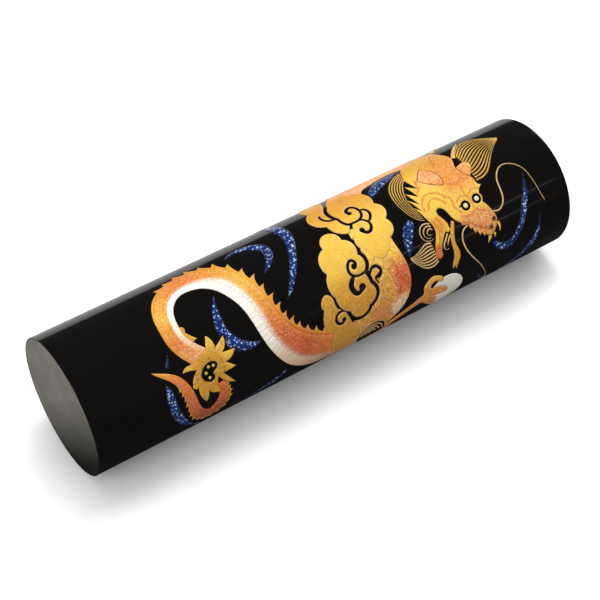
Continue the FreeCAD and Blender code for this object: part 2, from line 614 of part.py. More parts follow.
def tail_nodes():
    height = sheet.relief_height
    body = band(BODY, last=REAR_END)
    tuft = without(TUFT, KIDNEY)
    add_patches("tail_tuft", tuft, height)
    add_patches("tail_beads", [disc(x, s, BEAD_RADIUS) for x, s in BEADS], height)
    add_patches("tail_fin", without(TAIL_FIN, body, TUFT), height)
    loop_crest = teeth(TAIL_LOOP_OUTWARD, 0.6, 8.6, 17, 0.9, 0.24, 0.34)
    loop = band(TAIL_LOOP)
    add_patches("tail_loop", without(loop, grown(TUFT, 0.04), loop_crest), height)
    add_patches("tail_loop_crest", without(loop_crest, grown(TUFT, 0.04)), height)


# ---------------------------------------------------------------- body, leg, pearl

LEG_CURL_CENTRE = (2.45, 14.35)
LEG_CURL_RADII = [0.35, 0.75, 1.15, 1.55]
FORELEG = [(8.75, 12.75, 0.55), (7.6, 13.2, 0.42), (6.3, 13.75, 0.4), (5.1, 14.4, 0.45), (4.2, 15.2, 0.6),
           (3.6, 16.2, 0.75), (2.6, 17.0, 0.6)]
CLAW = patch(
    [(8.9, 11.9), (8.85, 11.2), (9.3, 10.6), (10.1, 10.25), (10.9, 10.5), (11.4, 11.0), (11.3, 11.5)],
    [(10.95, 11.25), (10.45, 11.0), (9.95, 11.2), (9.75, 11.65)],
    [(10.3, 11.9), (11.2, 12.15), (12.0, 12.85), (12.2, 13.6)],
    [(11.4, 13.5), (10.5, 13.3)],
    [(10.9, 14.2), (11.0, 15.3)],
    [(9.9, 14.6), (9.0, 13.6)],
    [(8.6, 13.35), (8.35, 12.4)])
PEARL = (11.9, 13.35, 2.35)
# The black line round the lower cloud also runs on beside its scroll.
LOWER_JOIN = band([(2.3, 6.2, 0.12), (2.75, 6.0, 0.08), (2.95, 5.4, 0.05)])
# Rows of teeth: both ends along the centre line, how many, and their height at the ends and in the middle.
REAR_TEETH = (5.4, 19.4, 19, 0.42, 0.82)
NECK_TEETH = (30.5, 35.6, 6, 0.8, 0.95)


def leg_curl(radius):
    """Half ring that opens downwards."""
    x, s = LEG_CURL_CENTRE
    steps = 8
    points = []
    for i in range(steps + 1):
        angle = math.pi * (1 + i / steps)
        points.append((x + radius * 1.15 * math.cos(angle), s + radius * 1.2 * math.sin(angle), 0.1))
    return band(points)


def body_section(name, first, last, cutters, crested):
    """Skin and belly of one visible length of the body."""
    height = sheet.relief_height
    back = -CREST if crested else -1.0
    add_patches(name + "_body", without(band(BODY, back, BELLY, first, last), *cutters), height)
    add_patches(name + "_belly", without(band(BODY, BELLY, 1.0, first, last), *cutters), height)


def toothed(row):
    first, last, count, low, high = row
    return teeth(BODY, first, last, count, CREST, low, high)


def body_crest(name, first, last, row, cutters):
    """Saw-edged crest of one length of the body, plain beyond its teeth."""
    row_first, row_last = row[:2]
    pieces = [toothed(row)]
    if row_first > first:
        pieces.append(band(BODY, -1.0, -CREST, first, row_first))
    if last > row_last:
        pieces.append(band(BODY, -1.0, -CREST, row_last, last))
    crest = [left for piece in merged(pieces) for left in without(piece, *cutters)]
    add_patches(name, crest, sheet.relief_height)


def body_nodes():
    height = sheet.relief_height
    gap = sheet.patch_gap
    spirals = disc(*LEG_CURL_CENTRE, LEG_CURL_RADII[-1] + 0.35)
    leg = band(FORELEG)
    neck_end = len(BODY) - 1.0
    over_rear = [grown(SMALL_CLOUD, gap), TUFT]
    over_front = [grown(SMALL_CLOUD, gap), grown(LOWER_CLOUD, sheet.cloud_gap), grown(UPPER_CLOUD, gap),
                  band(CHEST_SCROLL), spirals, grown(leg, gap), grown(LOWER_JOIN, 0.02)]
    over_neck = [grown(UPPER_CLOUD, gap), grown(HEAD, gap), grown(CLOUD_RIBBON, gap)]
    body_section("rear", 0.0, REAR_END, over_rear, crested=True)
    body_crest("rear_crest", 0.0, REAR_END, REAR_TEETH, over_rear)
    body_section("front", REAR_END, FRONT_END, over_front, crested=False)
    body_section("neck", NECK_START, neck_end, over_neck, crested=True)
    body_crest("neck_crest", NECK_START, neck_end, NECK_TEETH, over_neck)
    add_patches("leg_curl", [leg_curl(radius) for radius in LEG_CURL_RADII], sheet.line_height)
    add_patches("foreleg", without(leg, CLAW, spirals), height)
    add_patches("claw", [CLAW], height)
    pearl = disc(*PEARL)
    add_patches("pearl", without(pearl, grown(CLAW, 0.04)), height)


# ---------------------------------------------------------------- glitter streams

STREAMS = [
    [(-9.5, -2.1, 0.05), (-8.3, -2.55, 0.28), (-7.2, -2.45, 0.38), (-6.2, -1.95, 0.5), (-5.6, -1.1, 0.58),
     (-5.6, -0.1, 0.5), (-6.1, 0.8, 0.38), (-6.9, 1.55, 0.2), (-7.5, 1.85, 0.03)],
    [(-3.6, -8.5, 0.05), (-3.1, -6.5, 0.4), (-2.75, -4.5, 0.6), (-2.55, -2.5, 0.65), (-2.65, -1.0, 0.6),
     (-3.15, 0.4, 0.5), (-3.85, 1.8, 0.44), (-4.7, 3.1, 0.38), (-5.65, 4.35, 0.28), (-6.7, 5.4, 0.03)],
    [(-13.2, 1.7, 0.03), (-13.75, 2.8, 0.28), (-14.15, 4.2, 0.48), (-14.15, 5.5, 0.58), (-13.75, 6.6, 0.68),
     (-12.95, 7.4, 0.6), (-12.0, 7.8, 0.42), (-10.95, 7.8, 0.12)],
    [(-20.2, 4.8, 0.03), (-20.8, 6.0, 0.18), (-21.35, 7.7, 0.34), (-21.55, 9.3, 0.46), (-21.4, 10.9, 0.52),
     (-20.95, 12.3, 0.48), (-20.2, 13.6, 0.36), (-19.2, 14.7, 0.2), (-17.9, 15.5, 0.03)],
    [(-13.6, 14.6, 0.05), (-12.2, 14.7, 0.3), (-10.8, 14.4, 0.4), (-9.4, 13.75, 0.35), (-8.4, 13.0, 0.2)],
    [(7.85, -0.85, 0.03), (8.4, -1.6, 0.4), (9.3, -2.25, 0.58), (10.4, -2.8, 0.62), (11.7, -3.2, 0.45),
     (12.6, -3.4, 0.1)],
    [(7.8, 7.1, 0.05), (8.1, 6.1, 0.38), (8.55, 5.0, 0.6), (9.1, 4.2, 0.64), (9.7, 3.6, 0.35)],
    [(18.2, 9.6, 0.1), (18.8, 10.3, 0.42), (19.75, 10.9, 0.55), (20.7, 10.8, 0.52), (21.6, 10.0, 0.42),
     (22.4, 8.9, 0.4), (23.1, 7.4, 0.4), (23.75, 5.9, 0.3), (24.4, 4.1, 0.03)],
    [(24.75, 8.6, 0.03), (24.65, 10.1, 0.2), (24.25, 11.5, 0.36), (23.65, 12.6, 0.45), (22.8, 13.7, 0.45),
     (21.7, 14.7, 0.4), (20.4, 15.6, 0.36), (18.9, 15.9, 0.34), (17.6, 15.2, 0.3), (16.7, 14.0, 0.2),
     (16.35, 12.8, 0.03)],
    [(-17.5, -8.2, 0.03), (-15.6, -9.8, 0.35), (-13.2, -10.9, 0.55), (-10.6, -11.0, 0.6), (-8.2, -10.0, 0.45),
     (-6.4, -8.2, 0.05)],
    [(8.2, -11.0, 0.03), (10.2, -12.6, 0.38), (12.8, -13.7, 0.58), (15.6, -13.6, 0.6), (18.2, -12.2, 0.45),
     (20.4, -9.9, 0.05)],
    [(-22.0, -15.0, 0.03), (-20.0, -17.0, 0.4), (-17.2, -18.3, 0.6), (-14.2, -18.2, 0.55),
     (-11.4, -16.7, 0.35), (-9.4, -14.6, 0.03)],
]


def stream_nodes():
    """Every stream stops clear of the patches that lie over it."""
    over = [grown(CLOUD_RIBBON, 0.12), grown(UPPER_CLOUD, 0.12), grown(HEAD, 0.12), grown(TUFT, 0.1),
            grown(band(TAIL_LOOP), 0.5), grown(band(BODY, first=0.2, last=REAR_END), 0.1),
            grown(toothed(REAR_TEETH), 0.05),
            grown(band(BODY, first=NECK_START), 0.15)]
    hair = [grown(strand(line, 0.08), 0.05) for line in between(*MANE_REAR, 6)]
    whiskers = [grown(strand(points, 0.085), 0.05) for points in WHISKERS.values()]
    for number, stations in enumerate(STREAMS, start=1):
        stream = without(band(stations), *over, *hair, *whiskers)
        add_patches("stream_%d" % number, stream, sheet.spray_height)


# ---------------------------------------------------------------- build and write

nodes.append(core_stick())
nodes.append(lacquer_coat())
body_nodes()
tail_nodes()
cloud_nodes()
head_nodes()
hair_nodes()
stream_nodes()
doc.recompute()

for item in doc.Objects:
    if "Invalid" in item.State or "Error" in item.State:
        raise RuntimeError("%s failed: %s" % (item.Name, item.State))
for node in nodes:
    if node.Shape.isNull() or not node.Shape.isValid():
        raise RuntimeError("%s has no valid shape" % node.Label)

os.makedirs("parts", exist_ok=True)
for node in nodes:
    node.Shape.exportStep("parts/%s.step" % node.Label)
print("%d nodes written" % len(nodes))
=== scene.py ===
import math

import bpy
import numpy as np
from mathutils import Matrix, Vector, geometry, kdtree, noise


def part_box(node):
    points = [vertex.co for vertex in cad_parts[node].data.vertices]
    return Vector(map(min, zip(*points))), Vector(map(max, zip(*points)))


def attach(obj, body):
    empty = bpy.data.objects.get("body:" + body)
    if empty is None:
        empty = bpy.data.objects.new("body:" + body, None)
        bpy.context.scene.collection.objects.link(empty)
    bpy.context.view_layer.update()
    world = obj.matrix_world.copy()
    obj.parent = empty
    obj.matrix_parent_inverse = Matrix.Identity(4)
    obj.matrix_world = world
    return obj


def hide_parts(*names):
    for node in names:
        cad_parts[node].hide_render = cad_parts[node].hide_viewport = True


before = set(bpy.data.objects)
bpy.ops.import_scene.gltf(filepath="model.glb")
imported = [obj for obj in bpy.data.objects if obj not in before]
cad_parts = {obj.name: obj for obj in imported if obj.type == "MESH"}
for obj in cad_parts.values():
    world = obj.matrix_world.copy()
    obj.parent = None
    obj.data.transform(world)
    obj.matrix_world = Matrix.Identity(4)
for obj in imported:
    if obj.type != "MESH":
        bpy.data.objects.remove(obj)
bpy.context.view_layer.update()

# ---------------------------------------------------------------- the stick's own measures

MM = 0.001
low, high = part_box("lacquer_coat")
RADIUS = (high.z - low.z) / 2

# The rest is in mm: the barrel, the lacquer's thickness, the far end's rise and the rounding of its rim.
R_MM = RADIUS / MM
HALF = (high.x - low.x) / 2 / MM
COAT = 0.15
CROWN = 0.86
RIM = 0.3


# ---------------------------------------------------------------- small helpers


def rgb(red, green, blue):
    """A colour given in display values from 0 to 255, as linear values."""
    values = np.array([red, green, blue]) / 255
    return np.where(values <= 0.04045, values / 12.92, ((values + 0.055) / 1.055) ** 2.4)


def smooth(low_end, high_end, value):
    """0 below low_end, 1 above high_end and a soft step between them."""
    t = np.clip((value - low_end) / (high_end - low_end), 0, 1)
    return t * t * (3 - 2 * t)


def blend(first, second, share):
    """The first colours moved towards the second one, point by point."""
    return first + (second - first) * share[:, None]


def spot(x, s, centre, radius):
    """1 at the centre of a round spot and 0 beyond its radius."""
    reach = np.hypot(x - centre[0], s - centre[1])
    return 1 - smooth(0.35 * radius, radius, reach)


def cloudy(x, s, size, seed):
    """Soft noise from -1 to 1, with patches of about this size in mm."""
    return np.array([noise.noise(Vector((a / size, b / size, seed))) for a, b in zip(x, s)])


def on_barrel(x, s, height):
    """Places on the barrel from unrolled mm: along it, round it from the top to the front, and above it."""
    angle = s / R_MM
    reach = R_MM + height
    return np.column_stack([x, -reach * np.sin(angle), R_MM + reach * np.cos(angle)]) * MM


def add_piece(name, mesh, material, node):
    """Puts a finished mesh in the scene, in the place of a CAD node."""
    mesh.polygons.foreach_set("use_smooth", [True] * len(mesh.polygons))
    mesh.materials.append(material)
    piece = bpy.data.objects.new(name, mesh)
    bpy.context.scene.collection.objects.link(piece)
    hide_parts(node)
    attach(piece, "root")


# ---------------------------------------------------------------- material nodes


def feed(tree, node, values):
    """Gives each of these inputs of a node a fixed value, or joins it to another node's output."""
    for name, value in values.items():
        if isinstance(value, bpy.types.NodeSocket):
            tree.links.new(value, node.inputs[name])
        else:
            node.inputs[name].default_value = value


def new_material(name):
    material = bpy.data.materials.new(name)
    material.use_nodes = True
    return material, material.node_tree, material.node_tree.nodes["Principled BSDF"]


def object_place(tree):
    """Places in the part's own frame, in metres."""
    return tree.nodes.new("ShaderNodeTexCoord").outputs["Object"]


def split_place(tree):
    """Places in the part's own frame as separate numbers, named X, Y and Z."""
    node = tree.nodes.new("ShaderNodeSeparateXYZ")
    feed(tree, node, {"Vector": object_place(tree)})
    return node.outputs


def split_colour(tree, colour):
    """A colour's parts, named Red, Green and Blue."""
    node = tree.nodes.new("ShaderNodeSeparateColor")
    feed(tree, node, {"Color": colour})
    return node.outputs


def painted(tree, name):
    """What is stored under this name at the points of the mesh."""
    node = tree.nodes.new("ShaderNodeAttribute")
    node.attribute_name = name
    return node.outputs


def soft_noise(tree, place, scale, detail=3.0):
    node = tree.nodes.new("ShaderNodeTexNoise")
    feed(tree, node, {"Vector": place, "Scale": scale, "Detail": detail})
    return node.outputs["Fac"]


def cells(tree, place, scale):
    """Three random values from 0 to 1 for each small cell, named Red, Green and Blue."""
    node = tree.nodes.new("ShaderNodeTexVoronoi")
    feed(tree, node, {"Vector": place, "Scale": scale})
    return split_colour(tree, node.outputs["Color"])


def map_range(tree, value, limits):
    """The value taken from between the first two limits to between the last two, and held there."""
    node = tree.nodes.new("ShaderNodeMapRange")
    feed(tree, node, dict(zip(("From Min", "From Max", "To Min", "To Max"), limits)))
    feed(tree, node, {"Value": value})
    return node.outputs["Result"]


def mix(tree, first, second, share, blend_type="MIX"):
    """The first colour with this share of the second one mixed in, or multiplied by it."""
    node = tree.nodes.new("ShaderNodeMix")
    node.data_type = "RGBA"
    node.blend_type = blend_type
    feed(tree, node, {"A": first, "B": second, "Factor": share})
    return node.outputs["Result"]


def multiply(tree, colour, tone):
    return mix(tree, colour, tone, 1.0, "MULTIPLY")


def bump(tree, height, strength, distance):
    node = tree.nodes.new("ShaderNodeBump")
    feed(tree, node, {"Height": height, "Strength": strength, "Distance": distance})
    return node


# ---------------------------------------------------------------- materials

# Cells to a metre: grains of powder, flakes among them, and the larger flakes of the glitter.
GRAINS = 10000
FLAKES = 13000
GLITTER = 7000


def lacquer_material():
    """Deep black polished lacquer, with the faintest waviness and smears."""
    material, tree, shader = new_material("black_lacquer_polished")
    place = object_place(tree)
    clouds = soft_noise(tree, place, 90)
    smears = soft_noise(tree, place, 350)
    waves = bump(tree, soft_noise(tree, place, 260, 1.0), 0.06, 0.0002)
    feed(tree, shader, {
        "Base Color": mix(tree, (0.0024, 0.0022, 0.0020, 1), (0.0036, 0.0032, 0.0028, 1), clouds),
        "Roughness": map_range(tree, smears, (0.3, 0.7, 0.07, 0.12)),
        "Normal": waves.outputs["Normal"],
        "Specular IOR Level": 0.5,
        "IOR": 1.5,
    })
    return material


def horn_material():
    """Dark horn sanded flat: warm grey, softly mottled and finely scratched, with painted shade below and in
    front.
    """
    material, tree, shader = new_material("sanded_horn")
    place = object_place(tree)
    mottle = map_range(tree, soft_noise(tree, place, 420), (0.3, 0.7, 0.0, 1.0))
    greys = mix(tree, (*rgb(114, 112, 102), 1), (*rgb(126, 124, 114), 1), mottle)
    stretched = tree.nodes.new("ShaderNodeMapping")
    feed(tree, stretched, {"Vector": place, "Rotation": (0.5, 0, 0), "Scale": (1, 900, 9000)})
    scratches = soft_noise(tree, stretched.outputs["Vector"], 1.0, 4.0)
    scratched = multiply(tree, greys, map_range(tree, scratches, (0.3, 0.7, 0.88, 1.06)))
    # Painted shade: the grey is darkened towards the bottom and the front side of the stick.
    parts = split_place(tree)
    height = tree.nodes.new("ShaderNodeMath")
    height.operation = "ADD"
    feed(tree, height, {0: parts["Y"], 1: parts["Z"]})
    painted_shade = map_range(tree, height.outputs["Value"], (-0.001, 0.009, 0.10, 1.08))
    feed(tree, shader, {
        "Base Color": multiply(tree, scratched, painted_shade),
        "Roughness": map_range(tree, scratches, (0.3, 0.7, 0.62, 0.75)),
        "Normal": bump(tree, scratches, 0.25, 0.00003).outputs["Normal"],
        "Specular IOR Level": 0.3,
    })
    return material


def powder_material(name, metallic, roughness, sparkle, painted_glints, wear):
    """Metal powder sprinkled on lacquer and burnished: painted tint, tiny grains, painted glints and a thin
    clear coat.
    """
    material, tree, shader = new_material(name)
    place = object_place(tree)
    grains = cells(tree, place, GRAINS)
    flakes = cells(tree, place, FLAKES)
    tones = map_range(tree, grains["Red"], (0.0, 1.0, 1 - sparkle, 1 + sparkle))
    speckled = multiply(tree, painted(tree, "tint")["Color"], tones)
    # Painted glints: the colour of some flakes is lifted towards pale cream.
    painted_glint_share = map_range(tree, flakes["Red"], (0.82, 1.0, 0.0, painted_glints))
    with_painted_glints = mix(tree, speckled, (1.0, 0.93, 0.80, 1), painted_glint_share)
    worn = map_range(tree, flakes["Green"], (0.88, 1.0, 0.0, wear))
    relief = bump(tree, painted(tree, "relief")["Fac"], 1.0, MM)
    grit = bump(tree, grains["Blue"], 0.35, 0.00002)
    feed(tree, grit, {"Normal": relief.outputs["Normal"]})
    feed(tree, shader, {
        "Base Color": mix(tree, with_painted_glints, (0.16, 0.06, 0.02, 1), worn),
        "Roughness": map_range(tree, grains["Green"], (0.0, 1.0, roughness - 0.1, roughness + 0.1)),
        "Normal": grit.outputs["Normal"],
        "Metallic": metallic,
        "Coat Weight": 0.35,
        "Coat Roughness": 0.12,
    })
    return material


def glitter_material():
    """Blue flakes, some of them painted bright as glints, scattered in black lacquer as thickly as the tint
    says.
    """
    material, tree, shader = new_material("blue_glitter_flakes")
    place = object_place(tree)
    flakes = cells(tree, place, GLITTER)
    dust = map_range(tree, soft_noise(tree, place, 1500), (0.35, 0.65, 0.35, 1.0))
    blue = mix(tree, (0.002, 0.007, 0.035, 1), (0.003, 0.036, 0.27, 1), dust)
    # Painted glints: the colour of some flakes is lifted to a pale bright blue.
    lit = map_range(tree, flakes["Red"], (0.80, 0.93, 0.0, 1.0))
    with_painted_sparkle = mix(tree, blue, (0.50, 0.72, 1.0, 1), lit)
    thickness = split_colour(tree, painted(tree, "tint")["Color"])["Red"]
    feed(tree, shader, {
        "Base Color": mix(tree, (0.003, 0.004, 0.009, 1), with_painted_sparkle, thickness),
        "Roughness": 0.45,
        "Normal": bump(tree, flakes["Green"], 0.4, 0.00003).outputs["Normal"],
        "Specular IOR Level": 0.15,
        "Coat Weight": 1.0,
        "Coat Roughness": 0.08,
    })
    return material


# Each powder's metallic share, roughness, spread of tones, and shares of painted glints and worn specks.
POWDERS = {
    "gold_powder": (0.25, 0.5, 0.10, 0.16, 0.25),
    "orange_gold_powder": (0.2, 0.5, 0.22, 0.40, 0.45),
    "rose_gold_powder": (0.2, 0.5, 0.20, 0.40, 0.40),
    "silver_powder": (0.15, 0.45, 0.05, 0.30, 0.12),
}
MATERIALS = {slot: powder_material(slot + "_burnished", *look) for slot, look in POWDERS.items()}
MATERIALS["blue_glitter"] = glitter_material()


# ---------------------------------------------------------------- the stick: turned pieces

SEGMENTS = 360


def turned(name, profile, material, node):
    """Closed solid turned about the stick's axis, from (x, radius) points in mm, the end ones on the axis."""
    vertices = [Vector((profile[0][0] * MM, 0, RADIUS))]
    for x, radius in profile[1:-1]:
        for i in range(SEGMENTS):
            angle = 2 * math.pi * i / SEGMENTS
            vertices.append(Vector((x, -radius * math.sin(angle), R_MM + radius * math.cos(angle))) * MM)
    vertices.append(Vector((profile[-1][0] * MM, 0, RADIUS)))
    last = len(vertices) - 1
    rings = len(profile) - 2
    tail = 1 + (rings - 1) * SEGMENTS
    faces = []
    for i in range(SEGMENTS):
        j = (i + 1) % SEGMENTS
        faces.append((0, 1 + i, 1 + j))
        for ring in range(rings - 1):
            a = 1 + ring * SEGMENTS
            b = a + SEGMENTS
            faces.append((a + i, b + i, b + j, a + j))
        faces.append((last, tail + j, tail + i))
    mesh = bpy.data.meshes.new(name)
    mesh.from_pydata(vertices, [], faces)
    add_piece(name, mesh, material, node)


def rounded(x, radius, corner, start, stop, steps=8):
    """Points of a rounding about the centre (x, radius), between two angles measured from the axis."""
    points = []
    for i in range(steps + 1):
        angle = math.radians(start + (stop - start) * i / steps)
        points.append((x + corner * math.cos(angle), radius + corner * math.sin(angle)))
    return points


def crown(steps=24):
    """Rim rounding and crowned far end, from the barrel to the axis."""
    ball = (R_MM ** 2 + CROWN ** 2) / (2 * CROWN)
    centre = HALF - ball
    rim_x = centre + math.sqrt((ball - RIM) ** 2 - (R_MM - RIM) ** 2)
    meet = math.degrees(math.atan2(R_MM - RIM, rim_x - centre))
    points = rounded(rim_x, R_MM - RIM, RIM, 90, meet)
    for i in range(1, steps + 1):
        angle = math.radians(meet * (1 - i / steps))
        points.append((centre + ball * math.cos(angle), ball * math.sin(angle)))
    return points


# The coat's edge at the working end is softened, and the core lies inside it, flush at that end.
EDGE = 0.06
INNER = R_MM - COAT
FIRST_RING = -HALF + 1
RING_STEPS = 60
RING_PITCH = (2 * HALF - 3) / RING_STEPS
CORE_END = HALF - CROWN - 0.4

coat_profile = [(-HALF + 0.02, 0.0), (-HALF + 0.02, INNER - 0.2), (-HALF, INNER - 0.02)]
coat_profile += rounded(-HALF + EDGE, R_MM - EDGE, EDGE, 180, 90)
coat_profile += [(FIRST_RING + i * RING_PITCH, R_MM) for i in range(RING_STEPS + 1)]
coat_profile += crown()
turned("coat_polished", coat_profile, lacquer_material(), "lacquer_coat")

core_profile = [(-HALF, radius) for radius in (0.0, 2.0, 4.0, 6.0, INNER - 0.04)]
core_profile += [(-HALF + 0.03, INNER), (CORE_END - 0.2, INNER), (CORE_END, INNER - 0.2), (CORE_END, 0.0)]
turned("core_sanded", core_profile, horn_material(), "core_stick")


# ---------------------------------------------------------------- raised decoration

# Points this close to a CAD patch's greatest height belong to its upper skin.
SKIN = 0.004
# Rows of a grid of even triangles are this part of its step apart.
ROW = 0.87
# A raised patch is this part of its height at its edge, and its skirt goes this far down into the lacquer.
EDGE_HEIGHT = 0.35
SKIRT = 0.03
# It stays just below the CAD patch's height, and carving takes up to this part of its swell away.
HEADROOM = 0.995
CARVING = 0.2
# The width in mm of the pillowed edge on patches that lie flush against each other.
FLUSH = 0.05
# How deep the carving looks in the shading, in mm.
SHADED_DEPTH = 0.025
# Grid points keep this part of a step from the outline, and points less than this far in lie on it.
EDGE_GAP = 0.45
ON_EDGE = 0.02


def outline(node):
    """The CAD patch's upper skin, unrolled: points in mm, edges round it, and height above the lacquer."""
    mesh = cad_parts[node].data
    mesh.calc_loop_triangles()
    places = np.array([v.co for v in mesh.vertices]) / MM
    reach = np.hypot(places[:, 1], places[:, 2] - R_MM)
    top = reach.max()
    flat = np.column_stack([places[:, 0], R_MM * np.arctan2(-places[:, 1], places[:, 2] - R_MM)])
    numbers = {}
    uses = {}
    for triangle in mesh.loop_triangles:
        corners = list(triangle.vertices)
        if min(reach[c] for c in corners) < top - SKIN:
            continue
        ids = []
        for c in corners:
            key = (round(flat[c][0], 4), round(flat[c][1], 4))
            ids.append(numbers.setdefault(key, len(numbers)))
        for a, b in ((0, 1), (1, 2), (2, 0)):
            pair = (min(ids[a], ids[b]), max(ids[a], ids[b]))
            uses[pair] = uses.get(pair, 0) + 1
    edges = [pair for pair, count in uses.items() if count == 1 and pair[0] != pair[1]]
    return np.array(list(numbers)), edges, top - R_MM


def split_edges(points, edges, step):
    """Breaks long outline edges up, and keeps only the points that the outline uses."""
    kept = {}
    places = []
    pieces = []

    def number(i):
        if i not in kept:
            kept[i] = len(places)
            places.append(tuple(points[i]))
        return kept[i]

    for a, b in edges:
        start, end = points[a], points[b]
        count = max(1, int(math.ceil(math.dist(start, end) / step)))
        chain = [number(a)]
        for i in range(1, count):
            chain.append(len(places))
            places.append(tuple(start + (end - start) * i / count))
        chain.append(number(b))
        pieces += list(zip(chain[:-1], chain[1:]))
    return np.array(places), pieces


def crossings(sides, s):
    """Where a line along the barrel crosses the outline's sides, in rising order."""
    start, end = sides[:, 0], sides[:, 1]
    crossing = (start[:, 1] > s) != (end[:, 1] > s)
    a, b = start[crossing], end[crossing]
    return np.sort(a[:, 0] + (s - a[:, 1]) * (b[:, 0] - a[:, 0]) / (b[:, 1] - a[:, 1]))


def inside_points(sides, step):
    """Points of a staggered grid that lie inside the outline."""
    low_x, low_s = sides.min((0, 1))
    high_x, high_s = sides.max((0, 1))
    found = []
    rows = int((high_s - low_s) / (ROW * step)) + 1
    for row in range(rows):
        s = low_s + (row + 0.5) * ROW * step
        grid = low_x + step * (np.arange(int((high_x - low_x) / step) + 1) + 0.5 * (row % 2))
        odd = np.searchsorted(crossings(sides, s), grid) % 2 == 1
        found += [(x, s) for x in grid[odd]]
    return found


def within(point, sides):
    """True if the point lies inside the outline, and not in a hole of it."""
    return (crossings(sides, point[1]) > point[0]).sum() % 2 == 1


def filled(places, pieces, step):
    """The outline filled with points: x, s and depth, which is how far in each one lies, and the faces."""
    sides = places[np.array(pieces)]
    tree = kdtree.KDTree(len(places) + len(pieces))
    for i, place in enumerate(np.vstack([places, sides.mean(1)])):
        tree.insert((*place, 0), i)
    tree.balance()
    grid = [p for p in inside_points(sides, step) if tree.find((*p, 0))[2] > EDGE_GAP * step]
    flat = [Vector(p) for p in places] + [Vector(p) for p in grid]
    result = geometry.delaunay_2d_cdt(flat, pieces, [], 2, 1e-5)
    flat = np.array(result[0])
    depth = np.array([tree.find((*p, 0))[2] for p in flat])
    depth[depth < ON_EDGE] = 0
    faces = []
    for face in result[2]:
        if max(depth[i] for i in face) > 0 or within(flat[face].mean(0), sides):
            faces.append(tuple(reversed(face)))
    return flat[:, 0], flat[:, 1], depth, faces


def open_sides(faces):
    """The sides that only one face has, each in the direction that its face runs."""
    sides = {}
    for face in faces:
        for a, b in zip(face, face[1:] + face[:1]):
            if (b, a) in sides:
                del sides[(b, a)]
            else:
                sides[(a, b)] = True
    return list(sides)


def blanket(node, slot, paint, pillow=0.3, step=0.1, carve=None):
    """A raised patch with a pillowy section, over the CAD patch's outline and painted point by point."""
    points, edges, rise = outline(node)
    x, s, depth, faces = filled(*split_edges(points, edges, step), step)
    swell = np.sqrt(1 - (1 - np.clip(depth / pillow, 0, 1)) ** 2)
    relief = carve(x, s, depth) if carve else np.ones(len(x))
    shape = EDGE_HEIGHT + (1 - EDGE_HEIGHT) * swell * (1 - CARVING + CARVING * relief)
    sides = open_sides(faces)
    rim = sorted({i for side in sides for i in side})
    below = {i: len(x) + k for k, i in enumerate(rim)}
    faces += [(a, below[a], below[b], b) for a, b in sides]
    vertices = np.vstack([on_barrel(x, s, rise * shape * HEADROOM), on_barrel(x[rim], s[rim], -SKIRT)])
    mesh = bpy.data.meshes.new(node + "_raised")
    mesh.from_pydata(vertices.tolist(), [], faces)
    colours = np.clip(paint(x, s, depth), 0.001, 1)
    colours = np.vstack([colours, colours[rim]])
    # The tint holds the painters' colours, with painted highlight and shade on some pieces.
    tint = mesh.color_attributes.new("tint", "FLOAT_COLOR", "POINT")
    tint.data.foreach_set("color", np.column_stack([colours, np.ones(len(colours))]).ravel())
    lift = SHADED_DEPTH * relief * (swell if pillow > FLUSH else 1)
    bumps = mesh.attributes.new("relief", "FLOAT", "POINT")
    bumps.data.foreach_set("value", np.concatenate([lift, lift[rim]]))
    add_piece(node + "_raised", mesh, MATERIALS[slot], node)


# ---------------------------------------------------------------- the dragon's centre line

# Centre line of the body, tail first: x, s and half width in mm. With x to the right and s upwards, the
# belly is on the left of the way it runs.
BODY = [
    (-17.2, 6.75, 1.0), (-18.75, 4.6, 0.98), (-18.95, 3.1, 0.98), (-18.8, 1.7, 1.02), (-18.25, 0.4, 1.08),
    (-17.35, -0.6, 1.13), (-16.2, -1.25, 1.22), (-14.9, -1.48, 1.38), (-13.55, -1.3, 1.5),
    (-12.35, -0.7, 1.57), (-11.3, 0.35, 1.6), (-10.55, 1.75, 1.55), (-10.0, 3.25, 1.48), (-9.65, 4.8, 1.46),
    (-9.3, 6.4, 1.54), (-8.75, 8.0, 1.68), (-7.85, 9.5, 1.88), (-6.6, 10.9, 2.1), (-4.95, 12.1, 2.25),
    (-3.0, 12.9, 2.3), (-0.9, 13.25, 2.3), (1.2, 12.95, 2.35), (3.1, 11.95, 2.3), (4.6, 10.4, 2.3),
    (5.15, 8.4, 2.25), (5.0, 6.4, 2.1), (4.8, 4.4, 2.0), (4.9, 2.2, 2.0), (5.2, 0.0, 2.0),
    (5.6, -2.2, 1.9), (6.4, -4.0, 1.9), (7.7, -5.0, 1.9), (9.5, -5.6, 1.9), (11.4, -5.95, 1.85),
    (13.2, -5.85, 1.8), (14.8, -5.2, 1.8), (15.9, -3.9, 1.8),
]


def dense_line(points, steps=24):
    """Points of a smooth curve through the given ones, with the station each point lies at."""
    rows = np.array(points)
    padded = np.vstack([2 * rows[0] - rows[1], rows, 2 * rows[-1] - rows[-2]])
    curve = []
    for i in range(len(rows) - 1):
        a, b, c, d = padded[i:i + 4]
        for k in range(steps):
            t = k / steps
            middle = 2 * b + (c - a) * t + (2 * a - 5 * b + 4 * c - d) * t ** 2
            curve.append(0.5 * (middle + (3 * b - a - 3 * c + d) * t ** 3))
    curve.append(rows[-1])
    return np.array(curve), np.arange(len(curve)) / steps


LINE, STATION = dense_line(BODY)
LENGTH = np.concatenate([[0], np.cumsum(np.hypot(*np.diff(LINE[:, :2], axis=0).T))])
LINE_TREE = kdtree.KDTree(len(LINE))
for i, row in enumerate(LINE):
    LINE_TREE.insert((row[0], row[1], 0), i)
LINE_TREE.balance()
WAY = np.gradient(LINE[:, :2], axis=0)
WAY /= np.hypot(WAY[:, 0], WAY[:, 1])[:, None]


